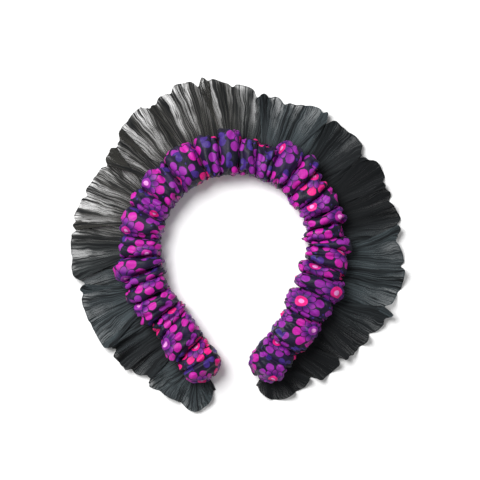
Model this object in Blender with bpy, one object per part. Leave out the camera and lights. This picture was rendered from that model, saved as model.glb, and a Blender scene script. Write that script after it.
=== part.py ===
"""Scrunchie headband: a gathered cloth sleeve on a hidden hoop, with a pleated ruffle along its outer seam.

It lies flat on z = 0, open end towards -Y. Metres, +Z up.
"""
import math

import bpy
from mathutils import Vector

MM = 0.001

# Hoop: a flat strip on edge, bent to a horseshoe with straight legs
HOOP_RADIUS = 67.0 * MM
HOOP_ARC = math.radians(250.0)
HOOP_LEG = 66.0 * MM
HOOP_THICK = 2.5 * MM
HOOP_TALL = 6.0 * MM
HOOP_ARC_STEPS = 48

# Cloth and clearances
SLEEVE_WALL = 1.6 * MM
RUFFLE_WALL = 1.2 * MM
CLEAR = 0.3 * MM
HOOP_CLEAR = 0.45 * MM

# Sleeve: measured from the middle of the hoop strip, outwards
SLEEVE_SEAM_OUT = 24.0 * MM
SLEEVE_CREASE_OUT = 25.0 * MM
SLEEVE_PUFF_OUT = 5.0 * MM
SLEEVE_PUFF_IN = 3.0 * MM
SLEEVE_SEAM_HIGH = 6.3 * MM
SLEEVE_MIDDLE = 11.0 * MM
SLEEVE_BELLY = 13.75 * MM
SLEEVE_CREASE_TOP = 20.0 * MM
SLEEVE_PUFF_TOP = 7.5 * MM
SLEEVE_END = 9.0 * MM
SLEEVE_CORNER = 14.0 * MM
SLEEVE_SIDES = 16
SLEEVE_SQUARE = 3.0

# Ruffle: one pleated strip, sewn into the seam
RUFFLE_REACH = 44.0 * MM
RUFFLE_RISE = 10.0 * MM
RUFFLE_TURN = math.radians(85.0)

# Puffs of the sleeve, from the right end round to the left. Columns: width as a share of all widths,
# lean of the crease that ends the puff as a share of the sleeve's seam distance,
# bulge outwards, inwards and upwards as shares of the puff sizes above, sections inside the puff.
PUFFS = [
    # width, lean, out, inn, top, inside
    (18.5, 0.06, 0.30, 0.60, 0.95, 3),
    (24.0, 0.31, 0.95, 0.20, 1.10, 4),
    (15.5, 0.00, 0.75, 2.20, 0.90, 3),
    (12.0, 0.10, 1.10, 2.60, 1.05, 2),
    (7.0, -0.29, 0.10, 2.90, 0.80, 2),
    (11.5, -0.24, 0.45, 1.50, 1.00, 2),
    (5.5, 0.00, 1.10, 0.50, 0.85, 2),
    (8.0, 0.00, -0.40, 2.10, 0.80, 2),
    (8.5, 0.05, 0.95, 0.80, 1.00, 2),
    (10.5, 0.00, 0.80, 0.30, 1.05, 2),
    (11.0, 0.00, 0.80, 1.00, 0.95, 2),
    (9.0, 0.10, 2.10, 0.20, 1.10, 2),
    (12.5, 0.15, 1.95, 0.20, 1.10, 2),
    (10.5, 0.10, -0.40, 0.20, 0.80, 2),
    (11.0, 0.10, 0.40, 0.10, 0.95, 2),
    (13.0, 0.02, 1.95, 0.10, 1.10, 2),
    (12.0, -0.02, 1.60, 0.10, 1.00, 2),
    (17.5, -0.05, 1.45, 0.10, 1.15, 3),
    (18.0, -0.05, 1.10, 0.20, 1.10, 3),
    (10.0, -0.02, 0.95, 0.20, 0.90, 2),
    (15.0, 0.02, 1.25, 0.45, 1.05, 3),
    (12.7, -0.05, 0.95, 0.45, 1.00, 2),
    (9.5, 0.24, 2.10, 1.00, 1.05, 2),
    (5.5, 0.05, 1.25, 1.00, 0.80, 2),
    (10.3, -0.02, 1.45, 0.10, 1.00, 2),
    (13.6, 0.08, 1.45, 0.10, 1.05, 2),
    (9.8, 0.50, 0.40, 0.90, 0.85, 2),
    (21.3, 0.31, 1.00, 0.50, 1.10, 4),
    (13.0, 0.00, 0.60, 0.50, 1.00, 2),
]
PUFF_EDGE = 0.24
PUFF_ROUNDNESS = 0.6

# Rounded ends of the sleeve. Columns: turn of the end corner in degrees, height left of the section,
# size left of the section about its middle.
END_RINGS = [
    # turn, height, size
    (0.0, 1.00, 1.00),
    (22.0, 0.96, 1.00),
    (44.0, 0.88, 1.00),
    (64.0, 0.76, 0.98),
    (80.0, 0.66, 0.80),
    (74.0, 0.60, 0.28),
]

# Flutes of the ruffle, from the right end round to the left. Columns: width along the seam as a share
# of all widths, reach as a share of RUFFLE_REACH, rise as a share of RUFFLE_RISE,
# sideways lean of the crest as a share of the flute's width.
FLUTES = [
    # width, reach, rise, lean
    (10.0, 0.36, 0.50, 0.00),
    (9.0, 0.45, 0.70, 0.10),
    (13.0, 0.52, 0.90, 0.10),
    (11.0, 0.68, 0.80, -0.15),
    (11.0, 0.80, 1.00, 0.10),
    (11.0, 0.88, 0.90, 0.15),
    (12.0, 0.95, 1.10, -0.10),
    (10.0, 0.95, 1.00, 0.15),
    (11.0, 1.05, 1.10, 0.10),
    (17.0, 1.18, 1.30, -0.15),
    (14.0, 1.18, 1.00, 0.10),
    (14.0, 1.14, 1.10, 0.15),
    (13.0, 0.99, 0.90, -0.10),
    (10.0, 1.05, 1.00, 0.10),
    (7.0, 1.10, 0.90, 0.10),
    (7.0, 1.07, 0.80, -0.10),
    (10.0, 0.92, 1.00, 0.15),
    (8.0, 1.07, 0.90, 0.10),
    (10.0, 1.07, 1.00, -0.10),
    (11.0, 1.01, 1.10, 0.10),
    (10.0, 1.10, 0.90, 0.15),
    (10.0, 1.07, 1.00, -0.10),
    (12.0, 0.90, 0.90, 0.10),
    (9.0, 0.95, 1.00, 0.15),
    (8.0, 0.95, 0.80, -0.10),
    (14.0, 1.03, 1.10, 0.10),
    (13.0, 1.18, 1.20, 0.10),
    (11.0, 1.26, 1.10, -0.15),
    (10.0, 1.24, 1.00, 0.10),
    (10.0, 1.18, 1.00, 0.15),
    (10.0, 1.07, 0.90, -0.10),
    (13.0, 1.03, 1.10, 0.10),
    (15.0, 0.90, 1.20, 0.15),
    (14.0, 0.99, 1.00, -0.10),
    (14.0, 0.95, 1.10, 0.10),
    (15.0, 1.07, 1.20, 0.15),
    (14.0, 1.05, 1.00, -0.10),
    (14.0, 1.01, 1.10, 0.10),
    (14.0, 0.95, 1.00, 0.15),
    (16.0, 0.90, 1.20, -0.10),
    (15.0, 1.01, 1.10, 0.10),
    (10.0, 0.99, 1.00, 0.15),
    (10.0, 0.95, 1.10, -0.10),
    (11.0, 0.90, 1.00, 0.10),
    (11.0, 0.80, 1.10, 0.15),
    (15.0, 0.62, 0.90, -0.10),
    (10.0, 0.56, 0.80, 0.10),
    (8.0, 0.64, 0.70, 0.10),
    (6.0, 0.66, 0.60, 0.00),
]
FLUTE_STATIONS = (0.0, 0.25, 0.5, 0.75)
FLUTE_NOTCH = 0.93

# Rows of the ruffle from the seam to the edge. Columns: distance as a share of the reach,
# share of the flute's rise.
RUFFLE_ROWS = [
    # distance, rise
    (0.00, 0.00),
    (0.30, 0.25),
    (0.65, 0.65),
    (1.00, 1.00),
]
RUFFLE_SAG = 1.6

FINISHES = {
    # node: colour, roughness, metallic
    "hoop": ((0.05, 0.05, 0.06, 1.0), 0.45, 0.0),
    "sleeve": ((0.42, 0.06, 0.34, 1.0), 0.65, 0.0),
    "ruffle": ((0.10, 0.11, 0.11, 1.0), 0.85, 0.0),
}

ARC_LENGTH = HOOP_ARC * HOOP_RADIUS
PATH_LENGTH = 2.0 * HOOP_LEG + ARC_LENGTH
CORNER_AT = SLEEVE_CORNER - SLEEVE_END


def path(along):
    """Point, outward normal and tangent of the hoop's middle line, along metres from its right tip."""
    turn = min(max((along - HOOP_LEG) / HOOP_RADIUS, 0.0), HOOP_ARC)
    straight = min(along - HOOP_LEG, 0.0) + max(along - HOOP_LEG - ARC_LENGTH, 0.0)
    angle = (math.pi - HOOP_ARC) / 2.0 + turn
    normal = Vector((math.cos(angle), math.sin(angle), 0.0))
    tangent = Vector((-math.sin(angle), math.cos(angle), 0.0))
    return HOOP_RADIUS * normal + straight * tangent, normal, tangent


def at(along, out, height):
    """Point beside the path: metres outwards from it and above the floor."""
    point, normal, _ = path(along)
    return point + out * normal + Vector((0.0, 0.0, height))


def seam_out(along):
    """Distance of the seam from the path, rounded off by the corner at both ends."""
    past = max(CORNER_AT - along, along - (PATH_LENGTH - CORNER_AT), 0.0)
    share = min(past / SLEEVE_CORNER, 1.0)
    return SLEEVE_SEAM_OUT - SLEEVE_CORNER * (1.0 - math.sqrt(1.0 - share * share))


def finish(name):
    """Plain material of one node."""
    colour, roughness, metallic = FINISHES[name]
    material = bpy.data.materials.new(name)
    material.use_nodes = True
    shader = material.node_tree.nodes["Principled BSDF"]
    shader.inputs["Base Color"].default_value = colour
    shader.inputs["Roughness"].default_value = roughness
    shader.inputs["Metallic"].default_value = metallic
    return material


def add_node(name, verts, faces):
    """One object of one sub-part."""
    mesh = bpy.data.meshes.new(name)
    mesh.from_pydata([tuple(point) for point in verts], [], faces)
    mesh.shade_smooth()
    mesh.materials.append(finish(name))
    node = bpy.data.objects.new(name, mesh)
    bpy.context.collection.objects.link(node)
    return node


def band(rings, start=0, flip=False):
    """Quads between neighbouring rings of equal length, whose points are numbered from start."""
    count = len(rings[0])
    faces = []
    for row in range(len(rings) - 1):
        here = start + row * count
        there = here + count
        for col in range(count):
            nxt = (col + 1) % count
            face = (here + col, there + col, there + nxt, here + nxt)
            faces.append(face[::-1] if flip else face)
    return faces


def swept_solid(name, rings):
    """Solid swept through rings of equal length, with a flat face at each end."""
    count = len(rings[0])
    verts = [point for ring in rings for point in ring]
    faces = band(rings)
    faces.append(tuple(range(count)))
    faces.append(tuple(reversed(range(len(verts) - count, len(verts)))))
    return add_node(name, verts, faces)


def hollow_solid(name, outer, inner):
    """Tube wall between outer and inner rings, joined round the hole at each end."""
    count = len(outer[0])
    start = len(outer) * count
    verts = [point for ring in outer + inner for point in ring]
    faces = band(outer) + band(inner, start, flip=True)
    for row, flip in ((0, True), (len(outer) - 1, False)):
        for col in range(count):
            nxt = (col + 1) % count
            face = (row * count + col, start + row * count + col,
                    start + row * count + nxt, row * count + nxt)
            faces.append(face[::-1] if flip else face)
    return add_node(name, verts, faces)


def build_hoop():
    """Flat strip on edge, one plain piece along the whole path."""
    stations = [0.0, HOOP_LEG / 2.0]
    stations += [HOOP_LEG + ARC_LENGTH * step / HOOP_ARC_STEPS for step in range(HOOP_ARC_STEPS + 1)]
    stations += [PATH_LENGTH - HOOP_LEG / 2.0, PATH_LENGTH]
    low = SLEEVE_MIDDLE - HOOP_TALL / 2.0
    high = SLEEVE_MIDDLE + HOOP_TALL / 2.0
    half = HOOP_THICK / 2.0
    corners = ((half, low), (half, high), (-half, high), (-half, low))
    rings = [[at(along, out, height) for out, height in corners] for along in stations]
    return swept_solid("hoop", rings)


def section(along, lean, bulge, height=1.0, size=1.0):
    """Outer and inner ring of the sleeve; bulge holds how far it swells outwards, inwards and upwards."""
    out, inn, top = bulge
    inside = HOOP_THICK / 2.0 + HOOP_CLEAR + SLEEVE_WALL + SLEEVE_PUFF_IN * inn
    seam = seam_out(along)
    outside = seam + SLEEVE_CREASE_OUT - SLEEVE_SEAM_OUT + SLEEVE_PUFF_OUT * out
    crown = (SLEEVE_CREASE_TOP + SLEEVE_PUFF_TOP * top) * height - SLEEVE_MIDDLE
    middle = Vector(((seam - inside) / 2.0, SLEEVE_MIDDLE * height))
    power = 2.0 / SLEEVE_SQUARE
    widest = math.cos(math.pi / SLEEVE_SIDES) ** power
    outer = []
    inner = []
    for side in range(SLEEVE_SIDES):
        angle = (side + 0.5) * math.tau / SLEEVE_SIDES
        across = math.copysign(abs(math.cos(angle)) ** power / widest, math.cos(angle))
        up = math.copysign(abs(math.sin(angle)) ** power, math.sin(angle))
        reach = outside if up > 0.0 else seam
        spot = Vector((-inside + (reach + inside) * (1.0 + across) / 2.0,
                       max(SLEEVE_MIDDLE + (crown if up > 0.0 else SLEEVE_BELLY) * up, 0.0)))
        if side == SLEEVE_SIDES - 1:
            spot = Vector((seam, SLEEVE_SEAM_HIGH))
        spot = middle + (spot - middle) * size
        cut = spot + (middle - spot).normalized() * SLEEVE_WALL
        shift = lean * SLEEVE_SEAM_OUT * across / 2.0
        outer.append(at(along + shift, *spot))
        inner.append(at(along + shift, *cut))
    return outer, inner


def puff_sections():
    """Sections from the first puff to the last; each puff but the first starts at its crease."""
    total = sum(row[0] for row in PUFFS)
    unit = (PATH_LENGTH - 2.0 * CORNER_AT) / total
    start = CORNER_AT
    lean_start = 0.0
    last = len(PUFFS) - 1
    rows = []
    for index, (width, lean, out, inn, top, inside) in enumerate(PUFFS):
        shares = [0.0] if 0 < index else []
        shares += [PUFF_EDGE + (1.0 - 2.0 * PUFF_EDGE) * step / (inside - 1) for step in range(inside)]
        for share in shares:
            phase = share
            if index == 0:
                phase = 0.5 + share / 2.0
            if index == last:
                phase = share / 2.0
            full = math.sin(math.pi * phase) ** PUFF_ROUNDNESS
            swell = [amount * full for amount in (out, inn, top)]
            rows.append((start + width * unit * share, lean_start + (lean - lean_start) * share, swell))
        start += width * unit
        lean_start = lean
    return rows


def build_sleeve():
    """Gathered tube of cloth round the hoop, puffed between its creases and drawn in at both ends."""
    pairs = []
    for turn, height, size in reversed(END_RINGS):
        along = CORNER_AT - SLEEVE_CORNER * math.sin(math.radians(turn))
        pairs.append(section(along, 0.0, PUFFS[0][2:5], height, size))
    pairs += [section(*row) for row in puff_sections()]
    for turn, height, size in END_RINGS:
        along = PATH_LENGTH - CORNER_AT + SLEEVE_CORNER * math.sin(math.radians(turn))
        pairs.append(section(along, 0.0, PUFFS[-1][2:5], height, size))
    outer = [pair[0] for pair in pairs]
    inner = [pair[1] for pair in pairs]
    return hollow_solid("sleeve", outer, inner)


def seam_line(along):
    """Point and outward direction of the ruffle's sewn edge, along metres from its right end."""
    radius = SLEEVE_CORNER + CLEAR
    corner = radius * RUFFLE_TURN
    leg = HOOP_LEG - CORNER_AT
    arc = HOOP_ARC * (HOOP_RADIUS + SLEEVE_SEAM_OUT + CLEAR)
    whole = 2.0 * (corner + leg) + arc
    near_end = min(along, whole - along)
    side = 1.0 if along < whole / 2.0 else -1.0
    if near_end < corner:
        start = CORNER_AT if side > 0.0 else PATH_LENGTH - CORNER_AT
        turn = (corner - near_end) / radius
        point, normal, tangent = path(start)
        centre = point + (SLEEVE_SEAM_OUT - SLEEVE_CORNER) * normal
        direction = math.cos(turn) * normal - side * math.sin(turn) * tangent
        return centre + radius * direction, direction
    if near_end < corner + leg:
        track = CORNER_AT + near_end - corner
        track = track if side > 0.0 else PATH_LENGTH - track
    else:
        track = HOOP_LEG + (along - corner - leg) / arc * ARC_LENGTH
    point, normal, _ = path(track)
    return point + (SLEEVE_SEAM_OUT + CLEAR) * normal, normal


def seam_length():
    """Length of the ruffle's sewn edge."""
    corner = (SLEEVE_CORNER + CLEAR) * RUFFLE_TURN
    arc = HOOP_ARC * (HOOP_RADIUS + SLEEVE_SEAM_OUT + CLEAR)
    return 2.0 * (corner + HOOP_LEG - CORNER_AT) + arc


def ruffle_ring(along, reach, rise, shift):
    """Section of the ruffle: its upper points from seam to edge, then its lower points back."""
    point, direction = seam_line(along)
    sideways = Vector((-direction.y, direction.x, 0.0))
    seat = SLEEVE_SEAM_HIGH - CLEAR - RUFFLE_WALL
    lower = []
    for distance, share in RUFFLE_ROWS:
        height = seat * (1.0 - distance) ** RUFFLE_SAG + rise * share
        place = point + distance * (reach * direction + shift * sideways)
        lower.append(place + Vector((0.0, 0.0, height)))
    wall = Vector((0.0, 0.0, RUFFLE_WALL))
    upper = [place + wall for place in lower]
    return upper[::-1] + lower


def build_ruffle():
    """Pleated strip fanning out from the seam, its flutes rising from the floor."""
    total = sum(row[0] for row in FLUTES)
    unit = seam_length() / total
    rings = []
    start = 0.0
    before = FLUTES[0][1]
    for width, reach, rise, lean in FLUTES:
        for share in FLUTE_STATIONS:
            lift = math.sin(math.pi * share) ** 2
            notch = min(before, reach) * FLUTE_NOTCH
            length = notch + (reach - notch) * lift
            rings.append(ruffle_ring(start + width * unit * share, RUFFLE_REACH * length,
                                     RUFFLE_RISE * rise * lift, lean * width * unit * lift))
        start += width * unit
        before = reach
    rings.append(ruffle_ring(start, RUFFLE_REACH * before * FLUTE_NOTCH, 0.0, 0.0))
    return swept_solid("ruffle", rings)


def centre_on_floor(nodes):
    """Move every mesh so that the middle of the whole lies over the origin."""
    points = [vert.co for node in nodes for vert in node.data.vertices]
    middle = Vector([(min(p[axis] for p in points) + max(p[axis] for p in points)) / 2.0 for axis in (0, 1)])
    for node in nodes:
        for vert in node.data.vertices:
            vert.co.xy -= middle


def main():
    """Build the whole headband."""
    for item in list(bpy.data.objects):
        bpy.data.objects.remove(item, do_unlink=True)
    centre_on_floor([build_hoop(), build_sleeve(), build_ruffle()])


main()
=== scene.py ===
"""Scrunchie headband: the finished look of the gathered printed sleeve, the sheer ruffle and the hoop."""
import math

import bpy
import numpy as np
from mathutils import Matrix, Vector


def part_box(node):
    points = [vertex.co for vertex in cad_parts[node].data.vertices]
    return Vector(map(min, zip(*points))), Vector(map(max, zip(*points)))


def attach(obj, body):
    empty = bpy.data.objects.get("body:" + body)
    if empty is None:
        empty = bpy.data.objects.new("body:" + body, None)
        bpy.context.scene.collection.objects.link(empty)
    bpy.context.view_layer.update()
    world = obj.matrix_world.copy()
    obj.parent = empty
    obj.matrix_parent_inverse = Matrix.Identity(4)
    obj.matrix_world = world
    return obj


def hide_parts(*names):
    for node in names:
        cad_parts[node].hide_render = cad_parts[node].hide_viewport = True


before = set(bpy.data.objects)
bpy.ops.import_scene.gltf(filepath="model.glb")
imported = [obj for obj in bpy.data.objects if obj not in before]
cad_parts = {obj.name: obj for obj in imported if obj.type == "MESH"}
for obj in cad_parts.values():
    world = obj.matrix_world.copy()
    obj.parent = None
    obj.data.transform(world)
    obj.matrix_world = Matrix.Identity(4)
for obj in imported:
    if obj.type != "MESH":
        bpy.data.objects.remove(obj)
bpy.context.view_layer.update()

bl_info = {
    "name": "Scrunchie Headband",
    "version": (1, 0, 0),
    "blender": (4, 5, 0),
    "location": "View3D > Sidebar > Headband",
    "description": "Gathered printed sleeve with a sheer crinkled ruffle on a hidden hoop",
    "category": "Object",
}

HOOP_LOW, HOOP_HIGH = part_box("hoop")
FLOOR_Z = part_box("sleeve")[0][2]
MM = 0.001

# Puffs of the sleeve, from the right end round to the left. Columns: width as a share of all widths,
# lean of the crease that ends the puff as a share of the seam distance, bulge outwards, inwards and
# upwards as shares of the puff sizes, number of small gathers across the puff.
PUFFS = [
    # width, lean, out, inn, top, gathers
    (18.5, 0.06, 0.30, 0.60, 0.95, 3),
    (24.0, 0.31, 0.95, 0.20, 1.10, 4),
    (15.5, 0.00, 0.75, 2.20, 0.90, 3),
    (12.0, 0.10, 1.10, 2.60, 1.05, 2),
    (7.0, -0.29, 0.10, 2.90, 0.80, 1),
    (11.5, -0.24, 0.45, 1.50, 1.00, 2),
    (5.5, 0.00, 1.10, 0.50, 0.85, 1),
    (8.0, 0.00, -0.40, 2.10, 0.80, 1),
    (8.5, 0.05, 0.95, 0.80, 1.00, 2),
    (10.5, 0.00, 0.80, 0.30, 1.05, 2),
    (11.0, 0.00, 0.80, 1.00, 0.95, 3),
    (9.0, 0.10, 2.10, 0.20, 1.10, 1),
    (12.5, 0.15, 1.95, 0.20, 1.10, 2),
    (10.5, 0.10, -0.40, 0.20, 0.80, 2),
    (11.0, 0.10, 0.40, 0.10, 0.95, 3),
    (13.0, 0.02, 1.95, 0.10, 1.10, 2),
    (12.0, -0.02, 1.60, 0.10, 1.00, 3),
    (17.5, -0.05, 1.45, 0.10, 1.15, 3),
    (18.0, -0.05, 1.10, 0.20, 1.10, 4),
    (10.0, -0.02, 0.95, 0.20, 0.90, 2),
    (15.0, 0.02, 1.25, 0.45, 1.05, 3),
    (12.7, -0.05, 0.95, 0.45, 1.00, 2),
    (9.5, 0.24, 2.10, 1.00, 1.05, 1),
    (5.5, 0.05, 1.25, 1.00, 0.80, 1),
    (10.3, -0.02, 1.45, 0.10, 1.00, 2),
    (13.6, 0.08, 1.45, 0.10, 1.05, 2),
    (9.8, 0.50, 0.40, 0.90, 0.85, 2),
    (21.3, 0.31, 1.00, 0.50, 1.10, 3),
    (13.0, 0.00, 0.60, 0.50, 1.00, 2),
]

# Flutes of the ruffle, from the right end round to the left. Columns: width along the seam as a share
# of all widths, reach and rise as shares of the ruffle's own, fold of the crest over its neighbour as
# a share of the flute's width, density of the crepe there, which also holds painted shade: higher on
# the sides in shade, lower on the lit side.
FLUTES = [
    # width, reach, rise, fold, density and painted shade
    (10.0, 0.36, 0.50, 0.10, 0.95),
    (9.0, 0.45, 0.70, 0.25, 0.95),
    (13.0, 0.52, 0.90, 0.38, 1.00),
    (11.0, 0.68, 0.80, -0.31, 1.00),
    (11.0, 0.80, 1.00, 0.81, 0.95),
    (11.0, 0.88, 0.90, 0.25, 0.92),
    (12.0, 0.95, 1.10, -0.90, 0.90),
    (10.0, 0.95, 1.00, 0.25, 0.88),
    (11.0, 1.05, 1.10, 1.08, 0.85),
    (17.0, 1.18, 1.30, -0.25, 0.78),
    (14.0, 1.18, 1.00, 0.31, 0.78),
    (14.0, 1.14, 1.10, 1.08, 0.80),
    (13.0, 0.99, 0.90, -0.25, 0.86),
    (10.0, 1.05, 1.00, 0.31, 0.90),
    (7.0, 1.10, 0.90, 0.99, 0.90),
    (7.0, 1.07, 0.80, -0.44, 0.90),
    (10.0, 0.92, 1.00, 1.08, 0.90),
    (8.0, 1.07, 0.90, 0.25, 0.88),
    (10.0, 1.07, 1.00, -1.08, 0.88),
    (11.0, 1.01, 1.10, 0.90, 0.86),
    (10.0, 1.10, 0.90, 0.25, 0.82),
    (10.0, 1.07, 1.00, -0.99, 0.75),
    (12.0, 0.90, 0.90, 0.15, 0.72),
    (9.0, 0.95, 1.00, 1.26, 0.66),
    (8.0, 0.95, 0.80, -0.25, 0.60),
    (14.0, 1.03, 1.10, 0.25, 0.52),
    (13.0, 1.18, 1.20, 0.90, 0.42),
    (11.0, 1.26, 1.10, -0.25, 0.40),
    (10.0, 1.24, 1.00, 0.25, 0.38),
    (10.0, 1.18, 1.00, 0.99, 0.36),
    (10.0, 1.07, 0.90, -0.15, 0.36),
    (13.0, 1.03, 1.10, 0.90, 0.32),
    (15.0, 0.90, 1.20, 0.90, 0.25),
    (14.0, 0.99, 1.00, -0.90, 0.25),
    (14.0, 0.95, 1.10, 0.15, 0.30),
    (15.0, 1.07, 1.20, 0.81, 0.42),
    (14.0, 1.05, 1.00, -0.15, 0.50),
    (14.0, 1.01, 1.10, 0.90, 0.60),
    (14.0, 0.95, 1.00, 0.15, 0.68),
    (16.0, 0.90, 1.20, -0.81, 0.75),
    (15.0, 1.01, 1.10, 0.90, 0.80),
    (10.0, 0.99, 1.00, 0.15, 0.84),
    (10.0, 0.95, 1.10, -0.25, 0.86),
    (11.0, 0.90, 1.00, 0.25, 0.88),
    (11.0, 0.80, 1.10, 1.08, 0.86),
    (15.0, 0.62, 0.90, -0.25, 0.82),
    (10.0, 0.56, 0.80, 0.25, 0.80),
    (8.0, 0.64, 0.70, 0.90, 0.80),
    (6.0, 0.66, 0.60, 0.00, 0.80),
]


def length(name, description, default):
    """One size of the headband, in metres."""
    return bpy.props.FloatProperty(name=name, description=description, default=default,
                                   unit="LENGTH", subtype="DISTANCE", precision=5)


def colour(name, description, default):
    """One colour of the headband."""
    return bpy.props.FloatVectorProperty(name=name, description=description, default=default,
                                         subtype="COLOR", size=3, min=0.0, max=1.0)


class HeadbandShape(bpy.types.PropertyGroup):
    """Sizes that the sleeve and the ruffle share."""

    hoop_radius: length("Hoop radius", "Middle of the strip, round part", 67.0 * MM)
    hoop_leg: length("Hoop leg", "Straight part at each end", 66.0 * MM)
    hoop_arc: bpy.props.FloatProperty(name="Hoop arc", description="Turn of the round part",
                                      default=math.radians(250.0), subtype="ANGLE")
    hoop_thick: length("Hoop thickness", "Thickness of the strip", 2.5 * MM)
    seam_out: length("Seam distance", "Outer seam from the hoop", 24.0 * MM)
    seam_high: length("Seam height", "Outer seam above the floor", 6.3 * MM)
    corner: length("End corner", "Radius of the seam's corner at the ends", 14.0 * MM)
    sleeve_end: length("Sleeve end", "Sleeve past the tip of the hoop", 9.0 * MM)


class SleeveSettings(bpy.types.PropertyGroup):
    """Sizes and colours of the gathered sleeve."""

    cover: length("Cover", "Cloth inside the hoop, between the puffs", 2.2 * MM)
    crease_out: length("Crease distance", "Outer edge at a crease, from the hoop", 24.6 * MM)
    crease_top: length("Crease height", "Top of the sleeve at a crease", 13.5 * MM)
    puff_out: length("Puff outwards", "Swell of a puff outwards", 5.0 * MM)
    puff_in: length("Puff inwards", "Swell of a puff inwards", 3.0 * MM)
    puff_top: length("Puff upwards", "Swell of a puff upwards", 13.5 * MM)
    middle: length("Middle height", "Height of the middle of the sleeve", 11.0 * MM)
    belly: length("Belly", "Depth of the underside before it is pressed flat", 13.75 * MM)
    motif: length("Motif pitch", "Distance between the rosettes of the print", 36.0 * MM)
    petal: colour("Petal", "Main petals of the print", (0.49, 0.008, 0.32))
    petal_hot: colour("Hot petal", "Warm petals and rosette middles", (0.74, 0.006, 0.20))
    petal_cool: colour("Cool petal", "Orchid petals", (0.26, 0.014, 0.30))
    shade: colour("Shade", "Purple at the root of the petals", (0.050, 0.004, 0.12))
    leaf: colour("Leaf", "Blue-violet leaves", (0.040, 0.014, 0.17))
    ground: colour("Ground", "Navy ground of the print", (0.0045, 0.0045, 0.014))
    accent: colour("Accent", "Pale dots of the print", (0.72, 0.28, 0.62))


class RuffleSettings(bpy.types.PropertyGroup):
    """Sizes and colours of the crinkled ruffle."""

    clear: length("Seam gap", "Gap between the ruffle and the sleeve", 0.3 * MM)
    reach: length("Reach", "Seam to edge", 44.0 * MM)
    rise: length("Rise", "Height of the flutes at the edge", 8.0 * MM)
    seat: length("Seat height", "Middle of the cloth at the seam", 5.4 * MM)
    rest: length("Rest height", "Middle of the cloth where it rests", 0.5 * MM)
    crinkle: length("Crinkle", "Depth of the fine crinkles", 0.42 * MM)
    pitch: length("Crinkle pitch", "Distance between crinkles", 2.3 * MM)
    thread: colour("Thread", "Dark crepe thread", (0.006, 0.007, 0.008))
    # Painted light and shade: these three crepe colours stand for the lit side and the sides in shade, as
    # well as for thin and thick crepe.
    light: colour("Light crepe", "Crepe where it is stretched thin", (0.060, 0.058, 0.050))
    thick_shaded_crepe: colour("Cool crepe", "Crepe where it lies thicker", (0.050, 0.064, 0.070))
    thickest_shaded_crepe: colour("Deep crepe", "Crepe where it lies thickest", (0.012, 0.013, 0.014))


class StageSettings(bpy.types.PropertyGroup):
    """Camera and floor."""

    photo_width: length("View width", "Width that the camera sees at the floor", 400.0 * MM)
    camera_height: length("Camera height", "Camera above the floor", 1.9)
    look_x: length("Look at X", "Point under the camera", 1.74 * MM)
    look_y: length("Look at Y", "Point under the camera", 4.58 * MM)
    floor_size: length("Floor size", "Side of the floor", 6.0)


def settings():
    """The four groups of settings."""
    scene = bpy.context.scene
    return scene.headband_shape, scene.headband_sleeve, scene.headband_ruffle, scene.headband_stage


def path(shape, along):
    """Points, outward normals and tangents of the hoop's middle line, for metres from its right tip."""
    arc = shape.hoop_arc * shape.hoop_radius
    turn = np.clip((along - shape.hoop_leg) / shape.hoop_radius, 0.0, shape.hoop_arc)
    straight = np.minimum(along - shape.hoop_leg, 0.0) + np.maximum(along - shape.hoop_leg - arc, 0.0)
    angle = (math.pi - shape.hoop_arc) / 2.0 + turn
    normal = np.stack([np.cos(angle), np.sin(angle)], axis=-1)
    tangent = np.stack([-np.sin(angle), np.cos(angle)], axis=-1)
    centre = np.array([(HOOP_LOW[0] + HOOP_HIGH[0]) / 2.0,
                       HOOP_HIGH[1] - shape.hoop_radius - shape.hoop_thick / 2.0])
    return centre + shape.hoop_radius * normal + straight[..., None] * tangent, normal, tangent


def path_length(shape):
    """Length of the hoop's middle line."""
    return 2.0 * shape.hoop_leg + shape.hoop_arc * shape.hoop_radius


def smooth_noise(random, count, pitch, total):
    """One wavy line of values from -1 to 1: count samples over total metres, a new value each pitch."""
    knots = random.uniform(-1.0, 1.0, int(total / pitch) + 4)
    where = np.linspace(0.0, 1.0, count) * (len(knots) - 3)
    index = where.astype(int)
    share = where - index
    ease = share * share * (3.0 - 2.0 * share)
    return knots[index] * (1.0 - ease) + knots[index + 1] * ease


def soft_waves(random, x, y, pitch, spread, count):
    """Rumpled field of values about -1 to 1 from crossing waves of about one pitch."""
    total = np.zeros(np.broadcast(x, y).shape)
    for _ in range(count):
        heading = random.normal(0.0, spread)
        wave = math.tau / (pitch * random.uniform(0.7, 1.5))
        phase = random.uniform(0.0, math.tau)
        total += np.sin(wave * (x * math.cos(heading) + y * math.sin(heading)) + phase)
    return total / math.sqrt(count)


def cloth_grid(name, columns, rows):
    """A flat grid ready to be shaped: the object, and the column and row of each of its points."""
    bpy.ops.object.select_all(action="DESELECT")
    bpy.ops.mesh.primitive_grid_add(x_subdivisions=columns - 1, y_subdivisions=rows - 1, size=1.0)
    piece = bpy.context.object
    piece.name = name
    piece.data.name = name
    flat = np.empty(len(piece.data.vertices) * 3)
    piece.data.vertices.foreach_get("co", flat)
    flat = flat.reshape(-1, 3)
    column = np.rint((flat[:, 0] + 0.5) * (columns - 1)).astype(int)
    row = np.rint((flat[:, 1] + 0.5) * (rows - 1)).astype(int)
    return piece, column, row


def place_grid(piece, column, row, points, uv):
    """Move each point of the grid to its place in points and its place on the flat cloth in uv."""
    mesh = piece.data
    mesh.vertices.foreach_set("co", points[column, row].ravel())
    corner = np.empty(len(mesh.loops), dtype=int)
    mesh.loops.foreach_get("vertex_index", corner)
    mesh.uv_layers.active.data.foreach_set("uv", uv[column, row][corner].ravel())
    mesh.update()


def spread_normals(points):
    """Outward normals of a grid of points, columns along and rows round."""
    along = np.gradient(points, axis=0)
    across = np.gradient(points, axis=1)
    normal = np.cross(along, across)
    return normal / np.maximum(np.linalg.norm(normal, axis=-1, keepdims=True), 1e-12)


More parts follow.
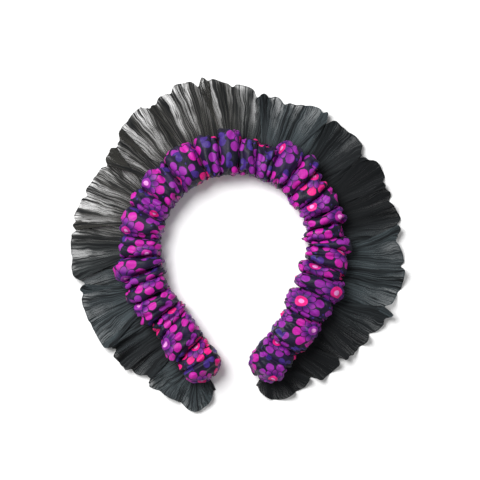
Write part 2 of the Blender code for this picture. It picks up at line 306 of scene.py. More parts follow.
SLEEVE_ROWS = 85
SLEEVE_STEP = 0.44 * MM
SEAM_ANGLE = -0.2
END_COLUMNS = 34
SQUARE = 3.0


def sleeve_columns(shape):
    """Columns of the sleeve between its ends: puff index and place across the puff."""
    total = sum(row[0] for row in PUFFS)
    unit = (path_length(shape) - 2.0 * (shape.corner - shape.sleeve_end)) / total
    index = []
    share = []
    for number, row in enumerate(PUFFS):
        count = max(12, int(row[0] * unit / SLEEVE_STEP))
        step = np.arange(count) / count
        index += [number] * count
        share += list(step - 0.35 * np.sin(math.tau * step) / math.tau)
    index.append(len(PUFFS) - 1)
    share.append(1.0)
    return np.array(index), np.array(share), unit


def crease_lines(shape, unit, angle, random):
    """Place along the hoop of each crease at each angle round the sleeve."""
    widths = np.array([row[0] for row in PUFFS]) * unit
    start = shape.corner - shape.sleeve_end + np.concatenate([[0.0], np.cumsum(widths)])
    lean = np.array([0.0] + [row[1] for row in PUFFS])
    room = np.minimum(np.append(widths, widths[-1]), np.insert(widths, 0, widths[0]))
    room[0] = 0.0
    room[-1] = 0.0
    phase = random.uniform(0.0, math.tau, (2, len(start), 1))
    wander = 0.07 * np.sin(angle + phase[0]) + 0.05 * np.sin(2.0 * angle + phase[1])
    return (start[:, None] + lean[:, None] * shape.seam_out * np.cos(angle) / 2.0
            + wander * room[:, None])


def gather_marks(index, share, angle, random):
    """Small gathers that start at one edge of the sleeve and die out across each puff."""
    depth = np.zeros((len(index), len(angle)))
    for number, row in enumerate(PUFFS):
        mine = index == number
        for _ in range(row[5] + 1):
            at = random.uniform(0.16, 0.84)
            slant = random.uniform(-0.16, 0.16)
            sigma = random.uniform(0.045, 0.08) * 12.0 / max(row[0], 8.0)
            centre = random.choice([0.15, 0.9, 1.6, 2.6, 2.9])
            width = random.uniform(0.6, 1.1)
            strength = random.uniform(0.6, 1.5)
            fade = np.exp(-((angle - centre) / width) ** 2)
            line = at + slant * (angle - centre)
            mark = np.exp(-((share[mine][:, None] - line) / sigma) ** 2)
            depth[mine] += strength * mark * fade
    return depth


def sleeve_points(shape, sleeve):
    """Points and flat-cloth places of the whole sleeve."""
    random = np.random.default_rng(11)
    angle = np.linspace(SEAM_ANGLE, SEAM_ANGLE + math.tau, SLEEVE_ROWS)
    index, share, unit = sleeve_columns(shape)
    table = np.array(PUFFS)
    phase = share.copy()
    phase[index == 0] = 0.5 + share[index == 0] / 2.0
    last = len(PUFFS) - 1
    phase[index == last] = share[index == last] / 2.0
    full = np.sin(math.pi * phase) ** 0.55
    creases = crease_lines(shape, unit, angle, random)
    tuck = 0.80 * (0.5 + 0.5 * np.sin(angle))
    inner_share = share[:, None] - tuck * np.sin(math.tau * phase)[:, None] / math.tau
    along = creases[index] * (1.0 - inner_share) + creases[index + 1] * inner_share
    bulge = table[index, 2:5] * full[:, None]
    swell = np.concatenate([np.ones(END_COLUMNS), full, np.ones(END_COLUMNS)])[:, None]
    turn = np.zeros(len(index))
    size = np.ones(len(index))
    low = np.ones(len(index))

    step = np.linspace(0.0, 1.0, END_COLUMNS + 1)[1:]
    tuck_in = np.maximum(step - 0.85, 0.0) / 0.15
    end_turn = np.radians(np.minimum(step / 0.85, 1.0) * 82.0)
    end_size = (1.0 - np.sin(end_turn) ** 2.3) ** (1.0 / 2.3) * (1.0 - 0.7 * tuck_in)
    end_low = 1.0 - 0.30 * (1.0 - np.cos(end_turn))
    begin = shape.corner - shape.sleeve_end
    run = shape.corner * np.sin(end_turn) - 1.2 * MM * tuck_in
    for first in (True, False):
        order = slice(None, None, -1) if first else slice(None)
        place = begin - run[order] if first else path_length(shape) - begin + run
        along = np.concatenate([np.repeat(place[:, None], len(angle), axis=1), along] if first
                               else [along, np.repeat(place[:, None], len(angle), axis=1)])
        rows = np.repeat(table[[0 if first else last], 2:5], END_COLUMNS, axis=0)
        bulge = np.concatenate([rows, bulge] if first else [bulge, rows])
        turn = np.concatenate([end_turn[order], turn] if first else [turn, end_turn])
        size = np.concatenate([end_size[order], size] if first else [size, end_size])
        low = np.concatenate([end_low[order], low] if first else [low, end_low])

    power = 2.0 / SQUARE
    across = np.sign(np.cos(angle)) * np.abs(np.cos(angle)) ** power
    up = np.sign(np.sin(angle)) * np.abs(np.sin(angle)) ** power
    inside = shape.hoop_thick / 2.0 + sleeve.cover + sleeve.puff_in * (bulge[:, 1:2] + 0.35 * swell)
    seam = shape.seam_out
    outside = seam + sleeve.crease_out - shape.seam_out + sleeve.puff_out * bulge[:, 0:1]
    crown = (sleeve.crease_top + sleeve.puff_top * bulge[:, 2:3]) * low[:, None] - sleeve.middle
    blend = np.clip(0.5 + up * 1.6, 0.0, 1.0)
    reach = seam + (outside - seam) * blend
    out = -inside + (reach + inside) * (1.0 + across) / 2.0
    high = sleeve.middle + np.where(up > 0.0, crown, sleeve.belly) * up
    middle_out = (seam - inside) / 2.0
    middle_high = sleeve.middle * low[:, None]
    out = middle_out + (out - middle_out) * size[:, None]
    high = middle_high + (high - middle_high) * size[:, None]

    ground, normal, _ = path(shape, along)
    points = np.empty(along.shape + (3,))
    points[..., :2] = ground + out[..., None] * normal
    points[..., 2] = np.maximum(high, 0.0)

    face = spread_normals(points)
    marks = np.zeros(along.shape)
    marks[END_COLUMNS:-END_COLUMNS] = gather_marks(index, share, angle, random)
    arc = angle * 14.0 * MM
    rumple = soft_waves(random, along, arc, 7.0 * MM, 0.55, 26)
    crumple = soft_waves(random, along, arc, 2.6 * MM, 0.9, 26)
    gathers = np.sin(9.0 * angle + 1.3) * (1.0 - size[:, None]) * 0.9
    lift = 0.7 * MM * rumple + 0.12 * MM * crumple - 2.2 * MM * marks + MM * gathers
    keep = np.clip(points[..., 2] / (3.0 * MM), 0.0, 1.0)
    points += face * (lift * keep)[..., None]
    points[..., 2] = np.maximum(points[..., 2], 0.0)
    points[..., 2] += FLOOR_Z

    walk = np.linalg.norm(np.diff(points, axis=0), axis=-1)[:, SLEEVE_ROWS // 8:SLEEVE_ROWS // 2]
    u = np.concatenate([[0.0], np.cumsum(walk.mean(axis=1))])
    round_walk = np.linalg.norm(np.diff(points, axis=1), axis=-1).mean(axis=0)
    v = np.concatenate([[0.0], np.cumsum(round_walk)])
    uv = np.stack(np.broadcast_arrays(u[:, None], v[None, :]), axis=-1)
    return points, uv


def seam_line(shape, ruffle, along):
    """Points and outward directions of the ruffle's sewn edge, for metres from its right end."""
    turn_all = math.radians(85.0)
    begin = shape.corner - shape.sleeve_end
    radius = shape.corner + ruffle.clear
    corner = radius * turn_all
    leg = shape.hoop_leg - begin
    arc = shape.hoop_arc * (shape.hoop_radius + shape.seam_out + ruffle.clear)
    whole = 2.0 * (corner + leg) + arc
    side = np.where(along < whole / 2.0, 1.0, -1.0)
    near_end = np.minimum(along, whole - along)
    track = np.where(near_end < corner + leg, begin + np.maximum(near_end - corner, 0.0),
                     shape.hoop_leg + (np.minimum(along, whole - along) - corner - leg) / arc
                     * shape.hoop_arc * shape.hoop_radius)
    track = np.where(side > 0.0, track, path_length(shape) - track)
    ground, normal, tangent = path(shape, track)
    turn = np.clip((corner - near_end) / radius, 0.0, None)[..., None]
    direction = np.cos(turn) * normal - side[..., None] * np.sin(turn) * tangent
    centre = ground + (shape.seam_out - shape.corner) * normal
    return centre + radius * direction, direction, whole


RUFFLE_ROWS = 26
RUFFLE_STEP = 0.29 * MM


def ruffle_points(shape, ruffle):
    """Points, flat-cloth places and density of the whole ruffle; the density carries painted shade as well.
    """
    random = np.random.default_rng(23)
    table = np.array(FLUTES)
    whole = float(seam_line(shape, ruffle, np.array([0.0]))[2])
    unit = whole / table[:, 0].sum()
    index = []
    phase = []
    for number, row in enumerate(FLUTES):
        count = int(row[0] * unit / RUFFLE_STEP)
        index += [number] * count
        phase += list(np.arange(count) / count)
    index.append(len(FLUTES) - 1)
    phase.append(1.0)
    index = np.array(index)
    phase = np.array(phase)
    start = np.concatenate([[0.0], np.cumsum(table[:, 0] * unit)])
    wide = table[index, 0] * unit
    base = start[index] + phase * wide
    lift = np.sin(math.pi * phase) ** 2
    edge_at = base + table[index, 3] * wide * lift
    crest_at = start[:-1] + table[:, 0] * unit * (0.5 + table[:, 3])
    order = np.argsort(crest_at)
    outline = np.interp(edge_at, crest_at[order], table[order, 1])
    for number, row in enumerate(FLUTES):
        flute = edge_at[index == number]
        fold_at = flute.max() if row[3] > 0.0 else flute.min()
        depth = 0.05 + 0.05 * min(abs(row[3]), 1.0)
        outline *= 1.0 - depth * np.exp(-((edge_at - fold_at) / (1.9 * MM)) ** 2)
    outline *= np.clip(np.minimum(edge_at, whole - edge_at) / (9.0 * MM), 0.15, 1.0) ** 0.5
    count = len(index)
    ripple = np.interp(edge_at, np.linspace(0.0, whole, count),
                       0.5 * smooth_noise(random, count, 2.8 * MM, whole)
                       + 1.0 * smooth_noise(random, count, 7.5 * MM, whole))
    reach = ruffle.reach * outline + MM * ripple

    row = np.linspace(0.0, 1.0, RUFFLE_ROWS)
    along = base[:, None] + (table[index, 3] * wide * lift)[:, None] * (0.25 + 0.75 * row)
    fine = smooth_noise(random, count, ruffle.pitch / 2.0, whole)
    other = smooth_noise(random, count, ruffle.pitch / 2.0, whole)
    broad = smooth_noise(random, count, ruffle.pitch * 1.6, whole)
    mix = 0.5 + 0.5 * np.sin(math.pi * row * 1.2)
    crinkle = fine[:, None] * mix + other[:, None] * (1.0 - mix) + 0.7 * broad[:, None]
    along += 0.35 * MM * smooth_noise(random, count, 4.0 * MM, whole)[:, None] * np.sin(5.0 * row)
    along = np.clip(along, 0.0, whole)
    seam, direction, _ = seam_line(shape, ruffle, along)
    ease = row ** 1.4
    high = (ruffle.rest + (ruffle.seat - ruffle.rest) * (1.0 - row) ** 1.6
            + (ruffle.rise * table[index, 2] * lift)[:, None] * ease)
    depth = ruffle.crinkle * (0.25 + 0.75 * np.minimum(row * 3.0, 1.0))
    high = high + depth * crinkle
    points = np.empty(along.shape + (3,))
    points[..., :2] = seam + (reach[:, None] * row)[..., None] * direction
    points[..., 2] = np.maximum(high, 0.12 * MM) + FLOOR_Z

    walk = np.linalg.norm(np.diff(points, axis=0), axis=-1).mean(axis=1)
    u = np.concatenate([[0.0], np.cumsum(walk)])
    uv = np.stack(np.broadcast_arrays(u[:, None], (ruffle.reach * row)[None, :]), axis=-1)
    # Density of each column from the table, with painted shade in it: higher on the sides in shade.
    knots = np.interp(base, (start[:-1] + start[1:]) / 2.0, table[:, 4])
    step = np.linalg.norm(np.gradient(points[..., :2], axis=0), axis=-1)
    spare = np.linalg.norm(np.gradient(points, axis=0), axis=-1).mean(axis=1, keepdims=True)
    crowd = np.clip(1.35 * spare / np.maximum(step, 0.12 * spare), 0.5, 6.0)
    return points, uv, knots, np.clip(crowd / 6.0, 0.0, 1.0)


def new_group(name, inputs, outputs):
    """Empty shader node group with named inputs and outputs."""
    group = bpy.data.node_groups.new(name, "ShaderNodeTree")
    for label, kind, value in inputs:
        socket = group.interface.new_socket(label, in_out="INPUT", socket_type=kind)
        if value is not None:
            socket.default_value = value
    for label, kind in outputs:
        group.interface.new_socket(label, in_out="OUTPUT", socket_type=kind)
    return group, group.nodes.new("NodeGroupInput"), group.nodes.new("NodeGroupOutput")


def feed(tree, value, socket):
    """Link an output to a socket, or set the socket to a constant."""
    if hasattr(value, "is_linked"):
        tree.links.new(value, socket)
    else:
        socket.default_value = value


def maths(tree, operation, *values):
    """One Math node."""
    node = tree.nodes.new("ShaderNodeMath")
    node.operation = operation
    for value, socket in zip(values, node.inputs):
        feed(tree, value, socket)
    return node.outputs[0]


def vector_maths(tree, operation, *values):
    """One Vector Math node that gives a vector."""
    node = tree.nodes.new("ShaderNodeVectorMath")
    node.operation = operation
    for value, socket in zip(values, node.inputs):
        feed(tree, value, socket)
    return node.outputs["Value" if operation == "LENGTH" else "Vector"]


def blend(tree, factor, first, second):
    """Mix two colours."""
    node = tree.nodes.new("ShaderNodeMix")
    node.data_type = "RGBA"
    feed(tree, factor, node.inputs["Factor"])
    feed(tree, first, node.inputs["A"])
    feed(tree, second, node.inputs["B"])
    return node.outputs["Result"]


def ramp(tree, value, low, high, start=0.0, end=1.0):
    """Smooth step of a value from start to end as it goes from low to high."""
    node = tree.nodes.new("ShaderNodeMapRange")
    node.interpolation_type = "SMOOTHSTEP"
    feed(tree, value, node.inputs["Value"])
    feed(tree, low, node.inputs["From Min"])
    feed(tree, high, node.inputs["From Max"])
    feed(tree, start, node.inputs["To Min"])
    feed(tree, end, node.inputs["To Max"])
    return node.outputs["Result"]


def noise(tree, vector, scale, detail=2.0, rough=0.5):
    """Noise value."""
    node = tree.nodes.new("ShaderNodeTexNoise")
    feed(tree, vector, node.inputs["Vector"])
    feed(tree, scale, node.inputs["Scale"])
    feed(tree, detail, node.inputs["Detail"])
    feed(tree, rough, node.inputs["Roughness"])
    return node.outputs["Fac"]


def stretched(tree, vector, scale):
    """Vector scaled on each axis."""
    node = tree.nodes.new("ShaderNodeMapping")
    feed(tree, vector, node.inputs["Vector"])
    node.inputs["Scale"].default_value = scale
    return node.outputs["Vector"]


def split(tree, vector):
    """X and Y of a vector."""
    node = tree.nodes.new("ShaderNodeSeparateXYZ")
    feed(tree, vector, node.inputs[0])
    return node.outputs["X"], node.outputs["Y"]


def join(tree, x, y):
    """Vector of X and Y."""
    node = tree.nodes.new("ShaderNodeCombineXYZ")
    feed(tree, x, node.inputs["X"])
    feed(tree, y, node.inputs["Y"])
    return node.outputs["Vector"]


def weave_group():
    """Fine plain weave as a height, and soft uneven patches as a mask, on flat-cloth metres."""
    group, given, out = new_group(
        "Cloth weave",
        [("Vector", "NodeSocketVector", None), ("Threads", "NodeSocketFloat", 2600.0)],
        [("Height", "NodeSocketFloat"), ("Patches", "NodeSocketFloat")],
    )
    x, y = split(group, given.outputs["Vector"])
    warp = maths(group, "SINE", maths(group, "MULTIPLY", x, given.outputs["Threads"]))
    weft = maths(group, "SINE", maths(group, "MULTIPLY", y, given.outputs["Threads"]))
    threads = maths(group, "MULTIPLY", warp, weft)
    slub = noise(group, stretched(group, given.outputs["Vector"], (90.0, 900.0, 1.0)), 1.0)
    feed(group, maths(group, "MULTIPLY_ADD", threads, 0.5, slub), out.inputs["Height"])
    feed(group, noise(group, given.outputs["Vector"], 55.0, 3.0), out.inputs["Patches"])
    return group


def rosette_mask(tree, place, turn, petals, size, waist):
    """Distance left to the edge of a round-petalled rosette, its petal lines and its radius."""
    x, y = split(tree, place)
    radius = vector_maths(tree, "LENGTH", place)
    angle = maths(tree, "ADD", maths(tree, "ARCTAN2", y, x), turn)
    lobe = maths(tree, "ABSOLUTE", maths(tree, "COSINE", maths(tree, "MULTIPLY", angle, petals / 2.0)))
    edge = maths(tree, "MULTIPLY_ADD", maths(tree, "POWER", lobe, 0.55), size * (1.0 - waist), size * waist)
    return maths(tree, "SUBTRACT", edge, radius), lobe, radius


def print_group():
    """All-over print of round rosettes, four-leaf sprigs and dots on a dark ground."""
    group, given, out = new_group(
        "Rosette print",
        [("Vector", "NodeSocketVector", None), ("Pitch", "NodeSocketFloat", 0.027),
         ("Petal", "NodeSocketColor", None), ("Hot", "NodeSocketColor", None),
         ("Cool", "NodeSocketColor", None), ("Shade", "NodeSocketColor", None),
         ("Leaf", "NodeSocketColor", None), ("Ground", "NodeSocketColor", None),
         ("Accent", "NodeSocketColor", None)],
        [("Color", "NodeSocketColor"), ("Ink", "NodeSocketFloat")],
    )
    wobble = noise(group, given.outputs["Vector"], 120.0, 1.0)
    x, y = split(group, given.outputs["Vector"])
    x = maths(group, "ADD", maths(group, "DIVIDE", x, given.outputs["Pitch"]),
              maths(group, "MULTIPLY", wobble, 0.05))
    y = maths(group, "DIVIDE", y, given.outputs["Pitch"])
    odd = maths(group, "MULTIPLY", maths(group, "MODULO", maths(group, "FLOOR", x), 2.0), 0.5)
    spot = join(group, x, maths(group, "ADD", y, odd))
    cell = vector_maths(group, "FLOOR", spot)
    local = vector_maths(group, "SUBTRACT", vector_maths(group, "FRACTION", spot), (0.5, 0.5, 0.0))
    dice = group.nodes.new("ShaderNodeTexWhiteNoise")
    dice.noise_dimensions = "2D"
    feed(group, cell, dice.inputs["Vector"])
    chance = dice.outputs["Value"]
    turn = maths(group, "MULTIPLY", chance, 6.28)

    left, lobe, radius = rosette_mask(group, local, turn, 9.0, 0.47, 0.66)
    petal = ramp(group, left, 0.0, 0.02)
    line = ramp(group, lobe, 0.30, 0.42)
    petal_body = maths(group, "MULTIPLY", maths(group, "MULTIPLY", petal, line),
                       ramp(group, radius, 0.185, 0.205))
    root = ramp(group, radius, 0.20, 0.34)
    warm = blend(group, ramp(group, chance, 0.52, 0.56), given.outputs["Petal"], given.outputs["Cool"])
    warm = blend(group, ramp(group, chance, 0.86, 0.88), warm, given.outputs["Hot"])
    petal_colour = blend(group, root, given.outputs["Shade"], warm)
    inner_left, inner_lobe, _ = rosette_mask(group, local, maths(group, "ADD", turn, 0.35), 9.0, 0.30, 0.5)
    inner = maths(group, "MULTIPLY", ramp(group, inner_left, 0.0, 0.012), ramp(group, inner_lobe, 0.2, 0.4))
    inner_edge = ramp(group, inner_left, -0.022, -0.010)
    disc = ramp(group, radius, 0.120, 0.130, 1.0, 0.0)
    eye = ramp(group, radius, 0.050, 0.062, 1.0, 0.0)

    shifted = vector_maths(group, "FRACTION", vector_maths(group, "ADD", spot, (0.5, 0.0, 0.0)))
    sprig_place = vector_maths(group, "SUBTRACT", shifted, (0.5, 0.04, 0.0))
    sprig_left, sprig_lobe, _ = rosette_mask(group, sprig_place, 0.6, 4.0, 0.21, 0.25)
    other_place = vector_maths(group, "SUBTRACT", shifted, (0.5, 1.04, 0.0))
    other_left, _, _ = rosette_mask(group, other_place, 0.6, 4.0, 0.21, 0.25)
    sprig = ramp(group, maths(group, "MAXIMUM", sprig_left, other_left), 0.0, 0.02)

    dots = group.nodes.new("ShaderNodeTexVoronoi")
    dots.feature = "F1"
    feed(group, spot, dots.inputs["Vector"])
    dots.inputs["Scale"].default_value = 6.5
    dot = ramp(group, dots.outputs["Distance"], 0.15, 0.19, 1.0, 0.0)

    result = blend(group, dot, given.outputs["Ground"], given.outputs["Leaf"])
    result = blend(group, sprig, result, blend(group, ramp(group, chance, 0.4, 0.42),
                                               given.outputs["Cool"], given.outputs["Leaf"]))
    result = blend(group, maths(group, "MULTIPLY", petal, 0.75), result, given.outputs["Ground"])
    result = blend(group, petal_body, result, petal_colour)
    result = blend(group, inner_edge, result, given.outputs["Ground"])
    result = blend(group, inner, result, blend(group, ramp(group, radius, 0.15, 0.28),
                                               given.outputs["Shade"], given.outputs["Cool"]))
    result = blend(group, disc, result, blend(group, ramp(group, chance, 0.3, 0.34),
                                              given.outputs["Cool"], given.outputs["Hot"]))
    result = blend(group, eye, result, given.outputs["Accent"])
    feed(group, result, out.inputs["Color"])
    feed(group, petal_body, out.inputs["Ink"])
    return group


def crepe_group():
    """Crinkled crepe: thin dark lines that run from seam to edge, and their height."""
    group, given, out = new_group(
        "Crinkled crepe",
        [("Vector", "NodeSocketVector", None), ("Lines", "NodeSocketFloat", 560.0)],
        [("Dense", "NodeSocketFloat"), ("Height", "NodeSocketFloat"), ("Mesh", "NodeSocketFloat"),
         ("Bundle", "NodeSocketFloat")],
    )
    place = given.outputs["Vector"]
    x, y = split(group, place)
    drift = maths(group, "MULTIPLY", noise(group, stretched(group, place, (45.0, 60.0, 1.0)), 1.0),
                  0.005)
    x = maths(group, "MULTIPLY", maths(group, "ADD", x, drift), given.outputs["Lines"])
    coarse = noise(group, join(group, x, maths(group, "MULTIPLY", y, 12.0)), 1.0, 1.0)
    fine = noise(group, join(group, maths(group, "MULTIPLY", x, 2.1),
                             maths(group, "MULTIPLY", y, 38.0)), 1.0, 1.0)
    bundle = ramp(group, noise(group, join(group, maths(group, "MULTIPLY", x, 0.20),
                                           maths(group, "MULTIPLY", y, 9.0)), 1.0, 1.0),
                  0.40, 0.62)
    width = ramp(group, bundle, 0.0, 1.0, 0.06, 0.17)
    thick = ramp(group, maths(group, "ABSOLUTE", maths(group, "SUBTRACT", coarse, 0.5)), 0.0, width,
                 1.0, 0.0)
    thin = ramp(group, maths(group, "ABSOLUTE", maths(group, "SUBTRACT", fine, 0.5)), 0.0, width,
                0.7, 0.0)
    crumple = noise(group, stretched(group, place, (1500.0, 700.0, 1.0)), 1.0, 2.0)
    feed(group, maths(group, "MAXIMUM", thick, thin), out.inputs["Dense"])
    feed(group, maths(group, "MULTIPLY_ADD", crumple, 0.4, maths(group, "ADD", coarse, fine)),
         out.inputs["Height"])
    feed(group, crumple, out.inputs["Mesh"])
    feed(group, bundle, out.inputs["Bundle"])
    return group


def new_material(name):
    """Material with an empty Principled surface and the flat-cloth coordinates."""
    material = bpy.data.materials.new(name)
    material.use_nodes = True
    tree = material.node_tree
    shader = tree.nodes["Principled BSDF"]
    cloth = tree.nodes.new("ShaderNodeUVMap")
    cloth.uv_map = "UVMap"
    return material, tree, shader, cloth.outputs["UV"]


def place_group(tree, group, values):
    """A group placed in a material with its values."""
    node = tree.nodes.new("ShaderNodeGroup")
    node.node_tree = group
    for label, value in values.items():
        feed(tree, value, node.inputs[label])
    return node


def bump(tree, height, strength, distance, before=None):
    """Normal from a height."""
    node = tree.nodes.new("ShaderNodeBump")
    node.inputs["Strength"].default_value = strength
    node.inputs["Distance"].default_value = distance
    feed(tree, height, node.inputs["Height"])
    if before is not None:
        feed(tree, before, node.inputs["Normal"])
    return node.outputs["Normal"]


def opaque(value):
    """Colour with full alpha."""
    return tuple(value) + (1.0,)


def sleeve_material(sleeve):
    """Printed soft satin with a fine weave."""
    material, tree, shader, cloth = new_material("sleeve_print")
    weave = place_group(tree, weave_group(), {"Vector": cloth})
    pattern = place_group(tree, print_group(), {
        "Vector": cloth, "Pitch": sleeve.motif,
        "Petal": opaque(sleeve.petal), "Hot": opaque(sleeve.petal_hot),
        "Cool": opaque(sleeve.petal_cool), "Shade": opaque(sleeve.shade),
        "Leaf": opaque(sleeve.leaf), "Ground": opaque(sleeve.ground),
        "Accent": opaque(sleeve.accent)})
    faded = blend(tree, ramp(tree, weave.outputs["Patches"], 0.35, 0.75, 0.0, 0.22),
                  pattern.outputs["Color"], opaque(sleeve.shade))
    feed(tree, faded, shader.inputs["Base Color"])
    feed(tree, ramp(tree, weave.outputs["Patches"], 0.3, 0.7, 0.46, 0.62), shader.inputs["Roughness"])
    shader.inputs["Specular IOR Level"].default_value = 0.26
    shader.inputs["Sheen Weight"].default_value = 0.03
    shader.inputs["Sheen Roughness"].default_value = 0.45
    feed(tree, bump(tree, weave.outputs["Height"], 0.35, 0.0002), shader.inputs["Normal"])
    return material


def ruffle_material(ruffle):
    """Sheer black crepe: open where it lies flat, dark where it is gathered or folded, with painted light
    and shade: more open and warmer on the lit side, closer and darker on the sides in shade.
    """
    material, tree, shader, cloth = new_material("ruffle_crepe")
    crepe = place_group(tree, crepe_group(), {"Vector": cloth})
    dense = crepe.outputs["Dense"]
    # Painted shade: the veil attribute holds the crepe's density and painted shade together.
    tone = tree.nodes.new("ShaderNodeAttribute")
    tone.attribute_name = "veil_and_painted_shade"
    full = tone.outputs["Fac"]
    packed = tree.nodes.new("ShaderNodeAttribute")
    packed.attribute_name = "crowd"
    crowd = maths(tree, "MULTIPLY", packed.outputs["Fac"], 6.0)
    _, out = split(tree, cloth)
    # More layers near the seam: partly the real gathers, partly painted shade where the sleeve shades the
    # ruffle.
    near_seam = ramp(tree, out, 0.0, 0.026, 1.9, 1.0)
    hem = ramp(tree, out, 0.0426, 0.0434, 0.0, 1.6)
    layers = maths(tree, "ADD", maths(tree, "MULTIPLY", crowd, near_seam), hem)
    # Painted shade: less floor shows through where the veil is high, partly from real density, partly
    # painted shade.
    openness_and_painted_shade = ramp(tree, full, 0.3, 1.05, 0.82, 0.16)
    mottle = ramp(tree, crepe.outputs["Mesh"], 0.38, 0.62, 0.0, 0.16)
    sheer = maths(tree, "MAXIMUM", maths(tree, "SUBTRACT", maths(tree, "ADD", openness_and_painted_shade, mottle), 0.08), 0.02)
    through = maths(tree, "POWER", sheer, layers)
    through = maths(tree, "MULTIPLY", through, ramp(tree, crepe.outputs["Bundle"], 0.0, 1.0, 0.97, 0.62))
    through = maths(tree, "MULTIPLY", through, ramp(tree, dense, 0.0, 0.8, 1.0, 0.04))
    feed(tree, maths(tree, "SUBTRACT", 1.0, through), shader.inputs["Alpha"])
    # Painted light and shade: warm light crepe on the lit side, cooler and darker crepe towards the sides
    # in shade, as well as by thickness.
    pale = blend(tree, ramp(tree, full, 0.40, 0.72), opaque(ruffle.light), opaque(ruffle.thick_shaded_crepe))
    pale = blend(tree, ramp(tree, full, 0.80, 0.90), pale, opaque(ruffle.thickest_shaded_crepe))
    feed(tree, blend(tree, dense, pale, opaque(ruffle.thread)), shader.inputs["Base Color"])
    shader.inputs["Roughness"].default_value = 0.8
    shader.inputs["Specular IOR Level"].default_value = 0.12
    shader.inputs["Sheen Weight"].default_value = 0.02
    feed(tree, bump(tree, crepe.outputs["Height"], 0.7, 0.0005), shader.inputs["Normal"])
    return material


def hoop_material():
    """Black moulded strip with a faint grain."""
    material = bpy.data.materials.new("hoop_strip")
    material.use_nodes = True
    tree = material.node_tree
    shader = tree.nodes["Principled BSDF"]
    place = tree.nodes.new("ShaderNodeTexCoord")
    grain = noise(tree, place.outputs["Object"], 420.0, 3.0)
    feed(tree, blend(tree, grain, (0.030, 0.030, 0.034, 1.0), (0.050, 0.050, 0.056, 1.0)),
         shader.inputs["Base Color"])
    feed(tree, ramp(tree, grain, 0.3, 0.7, 0.38, 0.52), shader.inputs["Roughness"])
    feed(tree, bump(tree, grain, 0.15, 0.0001), shader.inputs["Normal"])
    return material


class HEADBAND_OT_sleeve(bpy.types.Operator):
    """Make the gathered printed sleeve"""

    bl_idname = "headband.sleeve"
    bl_label = "Gathered sleeve"

    def execute(self, context):
        shape, sleeve, _, _ = settings()
        points, uv = sleeve_points(shape, sleeve)
        piece, column, row = cloth_grid("gathered_sleeve", *points.shape[:2])
        place_grid(piece, column, row, points, uv)
        bpy.ops.object.shade_smooth()
        piece.data.materials.append(sleeve_material(sleeve))
        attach(piece, "root")
        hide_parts("sleeve")
        return {"FINISHED"}


class HEADBAND_OT_ruffle(bpy.types.Operator):
    """Make the pleated sheer ruffle"""

    bl_idname = "headband.ruffle"
    bl_label = "Pleated ruffle"

    def execute(self, context):
        shape, _, ruffle, _ = settings()
        points, uv, density_and_shade, crowd = ruffle_points(shape, ruffle)
        piece, column, row = cloth_grid("pleated_ruffle", *points.shape[:2])
        place_grid(piece, column, row, points, uv)
        # The veil attribute carries the crepe's density together with painted shade.
        layer = piece.data.attributes.new("veil_and_painted_shade", "FLOAT", "POINT")
        layer.data.foreach_set("value", density_and_shade[column])
        layer = piece.data.attributes.new("crowd", "FLOAT", "POINT")
        layer.data.foreach_set("value", crowd[column, row])
        bpy.ops.object.mode_set(mode="EDIT")
        bpy.ops.mesh.select_all(action="SELECT")
        bpy.ops.mesh.flip_normals()
        bpy.ops.object.mode_set(mode="OBJECT")
        bpy.ops.object.shade_smooth()
        piece.data.materials.append(ruffle_material(ruffle))
        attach(piece, "root")
        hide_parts("ruffle")
        return {"FINISHED"}


class HEADBAND_OT_hoop(bpy.types.Operator):
    """Finish the hidden hoop"""

    bl_idname = "headband.hoop"
    bl_label = "Hoop finish"

    def execute(self, context):
        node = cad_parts["hoop"]
        material = hoop_material()
        if not node.material_slots:
            node.data.materials.append(material)
        for place in node.material_slots:
            place.material = material
        return {"FINISHED"}


def area_light(name, place, target, size, power):
    """Soft square light that faces a point."""
    bpy.ops.object.select_all(action="DESELECT")
    bpy.ops.object.light_add(type="AREA", location=place)
    lamp = bpy.context.object
    lamp.name = name
    lamp.data.size = size
    lamp.data.energy = power
    aim = np.array(target) - np.array(place)
    pitch = math.atan2(math.hypot(aim[0], aim[1]), -aim[2])
    lamp.rotation_euler = (pitch, 0.0, math.atan2(-aim[0], aim[1]))
    return lamp


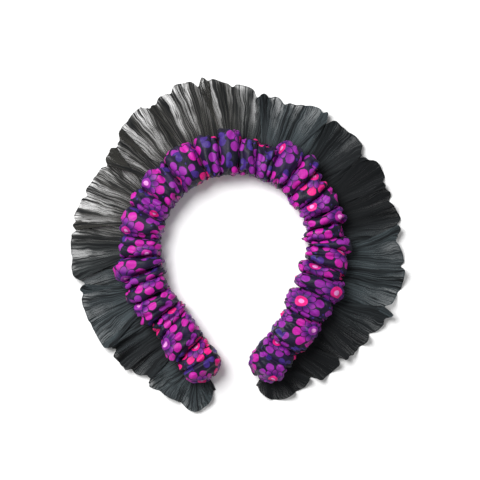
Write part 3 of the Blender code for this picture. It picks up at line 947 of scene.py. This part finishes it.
class HEADBAND_OT_stage(bpy.types.Operator):
    """Make the pale floor, the lights and the camera"""

    bl_idname = "headband.stage"
    bl_label = "Studio stage"

    def execute(self, context):
        stage = settings()[3]
        bpy.ops.object.select_all(action="DESELECT")
        bpy.ops.mesh.primitive_plane_add(size=stage.floor_size, location=(0.0, 0.0, FLOOR_Z - 0.1 * MM))
        floor = bpy.context.object
        floor.name = "floor"
        material = bpy.data.materials.new("pale_floor")
        material.use_nodes = True
        shader = material.node_tree.nodes["Principled BSDF"]
        shader.inputs["Base Color"].default_value = (0.93, 0.93, 0.93, 1.0)
        shader.inputs["Roughness"].default_value = 0.9
        shader.inputs["Specular IOR Level"].default_value = 0.0
        floor.data.materials.append(material)

        area_light("key_light", (-0.72, 0.72, 1.40), (0.0, 0.0, 0.0), 1.0, 44.0)
        area_light("fill_light", (0.4, -0.4, 2.0), (0.0, 0.0, 0.0), 1.8, 4.0)
        world = bpy.data.worlds.new("studio")
        world.use_nodes = True
        sky = world.node_tree.nodes["Background"]
        sky.inputs["Color"].default_value = (1.0, 1.0, 1.0, 1.0)
        sky.inputs["Strength"].default_value = 0.26
        context.scene.world = world
        context.scene.view_settings.view_transform = "Standard"

        bpy.ops.object.camera_add(location=(stage.look_x, stage.look_y, FLOOR_Z + stage.camera_height))
        camera = bpy.context.object
        camera.name = "photo_camera"
        camera.rotation_euler = (0.0, 0.0, 0.0)
        camera.data.sensor_width = 36.0
        camera.data.lens = camera.data.sensor_width * stage.camera_height / stage.photo_width
        camera.data.clip_end = 20.0
        context.scene.camera = camera
        return {"FINISHED"}


class HEADBAND_PT_panel(bpy.types.Panel):
    """Steps that make the headband"""

    bl_label = "Headband"
    bl_idname = "HEADBAND_PT_panel"
    bl_space_type = "VIEW_3D"
    bl_region_type = "UI"
    bl_category = "Headband"

    def draw(self, context):
        for step in STEPS:
            self.layout.operator(step.bl_idname)


GROUPS = (
    ("headband_shape", HeadbandShape),
    ("headband_sleeve", SleeveSettings),
    ("headband_ruffle", RuffleSettings),
    ("headband_stage", StageSettings),
)
STEPS = (HEADBAND_OT_stage, HEADBAND_OT_hoop, HEADBAND_OT_sleeve, HEADBAND_OT_ruffle)


def register():
    """Register the settings, the steps and the panel."""
    for name, group in GROUPS:
        bpy.utils.register_class(group)
        setattr(bpy.types.Scene, name, bpy.props.PointerProperty(type=group))
    for item in STEPS + (HEADBAND_PT_panel,):
        bpy.utils.register_class(item)


def unregister():
    """Take them away again."""
    for item in reversed(STEPS + (HEADBAND_PT_panel,)):
        bpy.utils.unregister_class(item)
    for name, group in reversed(GROUPS):
        delattr(bpy.types.Scene, name)
        bpy.utils.unregister_class(group)


def main():
    """Make the whole headband on its stage."""
    register()
    bpy.ops.headband.stage()
    bpy.ops.headband.hoop()
    bpy.ops.headband.sleeve()
    bpy.ops.headband.ruffle()


if __name__ == "__main__":
    main()
